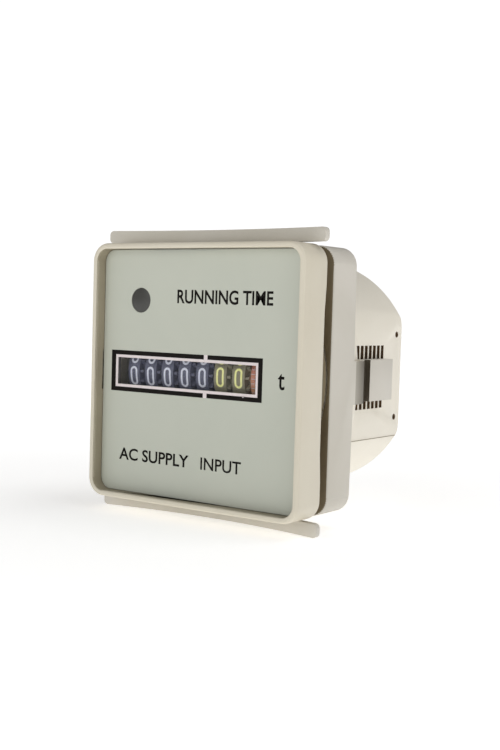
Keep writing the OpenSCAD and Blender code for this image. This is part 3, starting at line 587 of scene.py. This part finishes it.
def buildTerminals():
    for name, node in (("terminalTabLeft", "terminal_left"), ("terminalTabRight", "terminal_right")):
        piece = mergedCopy(node, name)
        softEdges(piece, smallSettings["tabEdge"] * mm)
        finishPiece(piece, "housing", finishes["brass"], [node])


def buildIndicator():
    piece = mergedCopy("indicator_lens", "indicatorDisc")
    softEdges(piece, smallSettings["discEdge"] * mm, segments=3)
    finishPiece(piece, "housing", finishes["smoke"], ["indicator_lens"])


for build in (buildBezel, buildBody, buildClamp, buildCover, buildSideLines, buildTerminals, buildIndicator):
    build()
print("shells built")


dialPrint = {"frameOuter": (-22.5, 15.55, -4.2, 4.2), "lineOuter": (-21.3, 14.55, -3.3, 3.3),
             "lineInner": (-20.7, 14.05, -2.75, 2.75), "tickFrom": 1.55, "tickTo": 2.45,
             "overlap": 0.02, "pointerX": 11.2, "pointerBase": 0.32, "pointerTop": 0.3,
             "thick": 0.02, "paleThick": 0.03, "wordThick": 0.015, "linerDepth": 0.76}

# generic words: from x, to x, standing on z, height, and what is added to the stroke
dialWords = {"titleLine": ("RUNNING TIME", -5.5, 17.5, 14.1, 2.75, 0.02),
             "unitMark": ("t", 19.1, 20.6, -1.5, 3.1, 0.012),
             "supplyLine": ("AC SUPPLY", -19.85, -1.6, -18.35, 2.5, 0.018),
             "supplyEnd": ("INPUT", 1.4, 11.2, -18.35, 2.45, 0.012)}


def flatPanel(name, outer, inner, thick, sink=0.0):
    # a flat ring or plate on the dial's face
    x0, x1, z0, z1 = (value * mm for value in outer)
    bpy.ops.mesh.primitive_plane_add(size=1, location=((x0 + x1) / 2, dialFace, (z0 + z1) / 2),
                                     rotation=(math.radians(90), 0, 0))
    piece = bpy.context.object
    piece.name = name
    piece.scale = (x1 - x0, z1 - z0, 1)
    settle(piece)
    if inner:
        a0, a1, b0, b1 = (value * mm for value in inner)
        bpy.ops.object.mode_set(mode="EDIT")
        for point, normal in (((a0, 0, 0), (1, 0, 0)), ((a1, 0, 0), (1, 0, 0)),
                              ((0, 0, b0), (0, 0, 1)), ((0, 0, b1), (0, 0, 1))):
            bpy.ops.mesh.select_all(action="SELECT")
            bpy.ops.mesh.bisect(plane_co=point, plane_no=normal)
        bpy.ops.mesh.select_all(action="DESELECT")
        bpy.ops.mesh.select_mode(type="FACE")
        bpy.ops.object.mode_set(mode="OBJECT")
        for face in piece.data.polygons:
            face.select = a0 < face.center.x < a1 and b0 < face.center.z < b1
        bpy.ops.object.mode_set(mode="EDIT")
        bpy.ops.mesh.delete(type="FACE")
        bpy.ops.object.mode_set(mode="OBJECT")
    solid = piece.modifiers.new("ink", "SOLIDIFY")
    # print stands on the face, and a liner goes down into it
    solid.thickness, solid.offset = thick * mm, -1 if sink else 1
    applyAll(piece)
    piece.data.transform(Matrix.Translation((0, sink * mm, 0)))
    return piece


def lettering(name, words, x0, x1, z0, height, weight):
    # printed words that run from x0 to x1 and stand on z0
    bpy.ops.object.text_add(location=(0, 0, 0))
    piece = bpy.context.object
    piece.name = name
    piece.data.body = words
    piece.data.resolution_u = 4
    piece.data.offset = weight
    pick(piece)
    bpy.ops.object.convert(target="MESH")
    piece = bpy.context.object
    xs, ys = [v.co.x for v in piece.data.vertices], [v.co.y for v in piece.data.vertices]
    piece.data.transform(Matrix.Translation((-min(xs), -min(ys), 0)))
    piece.scale = ((x1 - x0) * mm / (max(xs) - min(xs)), height * mm / (max(ys) - min(ys)), 1)
    piece.rotation_euler = (math.radians(90), 0, 0)
    piece.location = (x0 * mm, dialFace, z0 * mm)
    settle(piece)
    solid = piece.modifiers.new("ink", "SOLIDIFY")
    solid.thickness, solid.offset = dialPrint["wordThick"] * mm, 1
    return applyAll(piece)


def buildDialPrint():
    p = dialPrint
    dark = [flatPanel("darkFrame", p["frameOuter"], p["lineOuter"], p["thick"])]
    dark += [lettering(name, *words) for name, words in dialWords.items()]
    finishPiece(joinAll(dark, "dialPrintDark"), "housing", finishes["ink"])
    pale = [flatPanel("paleLine", p["lineOuter"], p["lineInner"], p["paleThick"])]
    top, bottom = p["lineOuter"][3], p["lineOuter"][2]
    # a tick above the window and one below it, and a small pointer beside the last wheel
    for low, high in ((top - p["overlap"], p["frameOuter"][3]), (p["frameOuter"][2], bottom + p["overlap"])):
        pale.append(flatPanel("paleTick", (p["tickFrom"], p["tickTo"], low, high), None, p["paleThick"]))
    bpy.ops.mesh.primitive_cone_add(
        vertices=3, radius1=p["pointerBase"] * mm, radius2=p["pointerTop"] * mm, depth=p["paleThick"] * mm,
        location=(p["pointerX"] * mm, dialFace - p["paleThick"] * mm / 2, bottom * mm),
        rotation=(math.radians(-90), 0, 0))
    pale.append(settle(bpy.context.object))
    finishPiece(joinAll(pale, "dialPrintPale"), "housing", finishes["paleInk"])


rearMarks = {"size": 4.4, "rise": 0.2, "height": 6.5, "places": {"1": 7.0, "2": -7.0}, "plateFrom": 15}


def buildRearMarks():
    # raised numbers of the two terminals, on the rear cover
    # the plate's own face, which the rib between the terminals stands above
    face = max(v.co.y for v in nodes["rear_cover"].data.vertices
               if math.hypot(v.co.x, v.co.z) > rearMarks["plateFrom"] * mm)
    for words, x in rearMarks["places"].items():
        bpy.ops.object.text_add(location=(0, 0, 0))
        piece = bpy.context.object
        piece.name = f"rearMark{words}"
        piece.data.body = words
        piece.data.align_x = "CENTER"
        piece.data.size = rearMarks["size"] * mm
        piece.data.extrude = rearMarks["rise"] * mm
        piece.data.resolution_u = 4
        pick(piece)
        bpy.ops.object.convert(target="MESH")
        piece = bpy.context.object
        piece.rotation_euler = (math.radians(90), 0, math.radians(180))
        piece.location = (x * mm, face, rearMarks["height"] * mm)
        settle(piece)
        bpy.ops.object.mode_set(mode="EDIT")
        bpy.ops.mesh.select_all(action="SELECT")
        bpy.ops.mesh.remove_doubles(threshold=weldDistance / 2)
        bpy.ops.object.mode_set(mode="OBJECT")
        finishPiece(piece, "housing", finishes["body"])


def buildWindowLiner():
    # a thin dark sleeve that lines the cut in the dial, put in as painted shade along the window's edges
    x0, x1, z0, z1 = dialPrint["lineInner"]
    liner = flatPanel("windowShadeLiner", (x0 - 0.04, x1, z0 + 0.01, z1 - 0.01),
                      (x0 + 0.08, x1 - 0.1, z0 + 0.09, z1 - 0.09), dialPrint["linerDepth"], 0.01)
    finishPiece(liner, "housing", finishes["liner"])


buildDialPrint()
buildWindowLiner()
buildRearMarks()
print("dial printed")


# round figures are drawn, and the others are set in type; a wheel's turn is in degrees
figures = {"height": 3.9, "others": 3.1, "width": 1.85, "stroke": 0.44, "thick": 0.035,
           "hookFrom": 0.1, "hookTo": 0.95, "barShare": 1.6, "oneShare": 0.5, "typeWeight": -0.015,
           "lift": 0.004, "bendStep": 0.4, "bends": 5, "drumSides": 240, "drumLength": 20,
           "paleWheels": 5, "wheels": 7, "rimShare": 0.98,
           "settleTurn": (8.2, 7.6, 6.8, 5.4, 3.8, 0.8, 0.8)}


def stadiumRing(width, height, stroke):
    # a round-ended figure nought, flat in XY
    bpy.ops.mesh.primitive_circle_add(vertices=32, radius=width / 2, fill_type="NGON")
    ring = bpy.context.object
    bpy.ops.object.mode_set(mode="EDIT")
    for side in (1, -1):
        bpy.ops.mesh.select_mode(type="VERT")
        bpy.ops.mesh.select_all(action="DESELECT")
        bpy.ops.object.mode_set(mode="OBJECT")
        for point in ring.data.vertices:
            point.select = point.co.y * side > width * 0.02
        bpy.ops.object.mode_set(mode="EDIT")
        bpy.ops.transform.translate(value=(0, side * (height - width) / 2, 0))
    bpy.ops.mesh.select_mode(type="FACE")
    bpy.ops.mesh.select_all(action="SELECT")
    bpy.ops.mesh.inset(thickness=stroke, use_boundary=True)
    bpy.ops.mesh.delete(type="FACE")
    bpy.ops.object.mode_set(mode="OBJECT")
    return ring


def hookedRing(ring, value):
    # opens one side of the ring and closes its loop with a bar: a six, and upside down a nine
    f = figures
    side = 1 if value == 6 else -1
    pick(ring)
    bpy.ops.object.mode_set(mode="EDIT")
    for level in (f["hookFrom"], f["hookTo"]):
        bpy.ops.mesh.select_all(action="SELECT")
        bpy.ops.mesh.bisect(plane_co=(0, side * level * mm, 0), plane_no=(0, 1, 0))
    bpy.ops.object.mode_set(mode="OBJECT")
    for face in ring.data.polygons:
        face.select = (f["hookFrom"] < face.center.y * side / mm < f["hookTo"]
                       and face.center.x * side > 0)
    bpy.ops.object.mode_set(mode="EDIT")
    bpy.ops.mesh.select_mode(type="FACE")
    bpy.ops.mesh.delete(type="FACE")
    bpy.ops.object.mode_set(mode="OBJECT")
    bpy.ops.mesh.primitive_plane_add(size=1, location=(0, side * (f["hookFrom"] - f["stroke"] / 2) * mm, 0))
    bar = bpy.context.object
    bar.scale = ((f["width"] - f["barShare"] * f["stroke"]) * mm, f["stroke"] * mm, 1)
    settle(bar)
    return joinAll([ring, bar], "figure")


def figureShape(value):
    f = figures
    if value in (0, 6, 9):
        ring = stadiumRing(f["width"] * mm, f["height"] * mm, f["stroke"] * mm)
        return ring if value == 0 else hookedRing(ring, value)
    bpy.ops.object.text_add(location=(0, 0, 0))
    piece = bpy.context.object
    piece.data.body = str(value)
    piece.data.resolution_u = 3
    piece.data.offset = f["typeWeight"]
    pick(piece)
    bpy.ops.object.convert(target="MESH")
    piece = bpy.context.object
    xs, ys = [v.co.x for v in piece.data.vertices], [v.co.y for v in piece.data.vertices]
    middle = Vector(((min(xs) + max(xs)) / 2, (min(ys) + max(ys)) / 2, 0))
    piece.data.transform(Matrix.Translation(-middle))
    width = f["width"] * (f["oneShare"] if value == 1 else 1)
    piece.scale = (width * mm / (max(xs) - min(xs)), f["others"] * mm / (max(ys) - min(ys)), 1)
    return settle(piece)


def wrapOnDrum(piece, radius, thick):
    # bends a flat shape round the drum and gives it a little thickness
    f = figures
    piece.rotation_euler = (math.radians(90), 0, 0)
    piece.location = (0, -radius * 1.2, 0)
    settle(piece)
    bpy.ops.object.mode_set(mode="EDIT")
    for i in range(-f["bends"], f["bends"] + 1):
        bpy.ops.mesh.select_all(action="SELECT")
        bpy.ops.mesh.bisect(plane_co=(0, 0, i * f["bendStep"] * mm), plane_no=(0, 0, 1))
    bpy.ops.object.mode_set(mode="OBJECT")
    bpy.ops.mesh.primitive_cylinder_add(
        vertices=f["drumSides"], radius=radius, depth=f["drumLength"] * mm, end_fill_type="NOTHING",
        rotation=(0, math.radians(90), 0))
    drum = settle(bpy.context.object)
    wrap = piece.modifiers.new("wrap", "SHRINKWRAP")
    wrap.target, wrap.wrap_method = drum, "PROJECT"
    wrap.use_project_x, wrap.use_project_y, wrap.use_project_z = False, True, False
    wrap.use_positive_direction = wrap.use_negative_direction = True
    wrap.offset = f["lift"] * mm
    solid = piece.modifiers.new("raised", "SOLIDIFY")
    solid.thickness, solid.offset = thick * mm, 1
    applyAll(piece)
    bpy.data.objects.remove(drum)
    return piece


def buildFigureRing():
    ring = []
    for value in range(10):
        piece = wrapOnDrum(figureShape(value), drumRadius, figures["thick"])
        piece.rotation_euler = (math.radians(360 / 10 * value), 0, 0)
        ring.append(settle(piece))
    return joinAll(ring, "figureRing")


def rimX(number):
    # middle of a number wheel's rim, its widest part, between its lock ring and its gear
    xs = [v.co.x for v in nodes[f"number_wheel_{number}"].data.vertices
          if math.hypot(v.co.y - drumAxisY, v.co.z) > drumRadius * figures["rimShare"]]
    return (min(xs) + max(xs)) / 2


def buildFigures():
    master = buildFigureRing()
    for number in range(1, figures["wheels"] + 1):
        ring = twin(master, f"wheelFigures{number}")
        turn = Matrix.Rotation(math.radians(figures["settleTurn"][number - 1]), 4, "X")
        ring.data.transform(Matrix.Translation((rimX(number), drumAxisY, 0)) @ turn)
        finish = finishes["figure" if number <= figures["paleWheels"] else "yellowFigure"]
        finishPiece(ring, f"wheel_{number}", finish)
    bpy.data.objects.remove(master)


markSettings = {"wheel": 8, "count": 50, "tenth": 5, "long": 1.3, "short": 0.8, "width": 0.13,
                "startX": -1.4}


def buildMarks():
    # graduations of the fraction wheel, with a long one at each tenth
    s = markSettings
    marks = []
    middle = rimX(s["wheel"])
    for i in range(s["count"]):
        length = (s["short"] if i % s["tenth"] else s["long"]) * mm
        bpy.ops.mesh.primitive_cube_add(size=1, location=(0, 0, 0))
        mark = bpy.context.object
        mark.scale = (length, 2 * figures["thick"] * mm, s["width"] * mm)
        settle(mark)
        mark.data.transform(Matrix.Translation((s["startX"] * mm + length / 2, -drumRadius, 0)))
        mark.data.transform(Matrix.Rotation(math.radians(360 * i / s["count"]), 4, "X"))
        mark.data.transform(Matrix.Translation((middle, drumAxisY, 0)))
        marks.append(mark)
    finishPiece(joinAll(marks, "fractionMarks"), "fraction_wheel", finishes["paleInk"])


buildFigures()
buildMarks()
print("figures built")


nodeFinish = {
    "dial": ["dial_plate"], "lens": ["window_lens"],
    "frame": ["counter_frame", "coil_bobbin"], "board": ["outer_gear_plate"],
    "steel": ["number_shaft", "transfer_shaft", "rotor_shaft", "lamp_leads", "coil_pins"],
    "zinc": ["motor_case", "stator_claws", "frame_screw_top", "frame_screw_bottom", "plate_screws"],
    "drum": [f"number_wheel_{k}" for k in range(1, 6)], "warmDrum": ["number_wheel_6", "number_wheel_7"],
    "redDrum": ["number_wheel_8"],
    "gear": [f"transfer_pinion_{k}" for k in range(1, 8)] + ["fraction_gear", "slow_reduction_gear",
                                                            "fast_reduction_gear", "lamp_holder"],
    "copper": ["coil_winding"], "magnet": ["rotor_magnet"], "paperBoard": ["circuit_board"],
    "capacitor": ["dropper_capacitor"], "resistor": ["dropper_resistor"], "lamp": ["running_lamp"],
}
for finishName, names in nodeFinish.items():
    for name in names:
        nodes[name].data.materials.clear()
        nodes[name].data.materials.append(finishes[finishName])
print("node finishes set")


studio = {"floorSize": 4.0, "floorDrop": 0.02, "worldLight": 0.24, "worldSeen": 1.05,
          "glowNear": (0.04, 0.48), "glowFar": (0.3, 0.87), "lightSize": 0.35, "aim": (0, 0.015, 0)}
lights = {"sideLight": ((0.55, -0.08, 0.2), 0.4), "frontLight": ((-0.12, -0.6, 0.2), 0.84),
          "topLight": ((0.22, 0.1, 0.5), 0.84)}    # place in metres and power in watts


def buildFloor():
    s = studio
    bpy.ops.mesh.primitive_plane_add(size=s["floorSize"], location=(0, 0, cadLow.z - s["floorDrop"] * mm))
    floor = bpy.context.object
    floor.name = "studioFloor"
    material = bpy.data.materials.new("paleFloor")
    material.use_nodes = True
    shader = material.node_tree.nodes["Principled BSDF"]
    shader.inputs["Base Color"].default_value = (0.9, 0.9, 0.9, 1)
    shader.inputs["Roughness"].default_value = 0.8
    shader.inputs["Emission Color"].default_value = (1, 1, 1, 1)
    # the floor brightens away from the object, so that it meets the white room without a line
    (nearest, dim), (farthest, bright) = s["glowNear"], s["glowFar"]
    tree = material.node_tree
    spot = addNode(tree, "ShaderNodeTexCoord").outputs["Object"]
    distance = addNode(tree, "ShaderNodeVectorMath", {0: spot}, operation="LENGTH").outputs["Value"]
    glow = mapRange(tree, distance, nearest, farthest, dim, bright)
    tree.links.new(glow, shader.inputs["Emission Strength"])
    floor.data.materials.append(material)


def buildLight():
    s = studio
    world = bpy.data.worlds.new("softRoom")
    bpy.context.scene.world = world
    world.use_nodes = True
    tree = world.node_tree
    tree.nodes.clear()
    seen = addNode(tree, "ShaderNodeBackground", {"Color": (1, 1, 1, 1), "Strength": s["worldSeen"]})
    lit = addNode(tree, "ShaderNodeBackground", {"Color": (1, 0.99, 0.97, 1), "Strength": s["worldLight"]})
    path = addNode(tree, "ShaderNodeLightPath")
    mix = addNode(tree, "ShaderNodeMixShader", {0: path.outputs["Is Camera Ray"], 1: lit.outputs[0],
                                                2: seen.outputs[0]})
    addNode(tree, "ShaderNodeOutputWorld", {0: mix.outputs[0]})
    for name, (place, power) in lights.items():
        bpy.ops.object.light_add(type="AREA", location=place)
        light = bpy.context.object
        light.name = name
        light.data.size = s["lightSize"]
        light.data.energy = power
        aim = Vector(s["aim"]) - Vector(place)
        light.rotation_euler = aim.to_track_quat("-Z", "Y").to_euler()
    bpy.context.scene.view_settings.view_transform = "Standard"


view = {"lens": 54.13, "eye": (0.135966, -0.179157, 0.013125),
        "right": (0.81483, 0.57891, 0.03012), "up": (-0.05759, 0.02913, 0.99792), "clip": (0.01, 20)}


def buildCamera():
    right, up = Vector(view["right"]), Vector(view["up"])
    back = right.cross(up).normalized()
    up = back.cross(right).normalized()
    turn = Matrix((right.normalized(), up, back)).transposed().to_4x4()
    bpy.ops.object.camera_add()
    camera = bpy.context.object
    camera.matrix_world = Matrix.Translation(view["eye"]) @ turn
    camera.data.lens = view["lens"]
    camera.data.clip_start, camera.data.clip_end = view["clip"]
    bpy.context.scene.camera = camera


buildFloor()
buildLight()
buildCamera()
print("studio set")
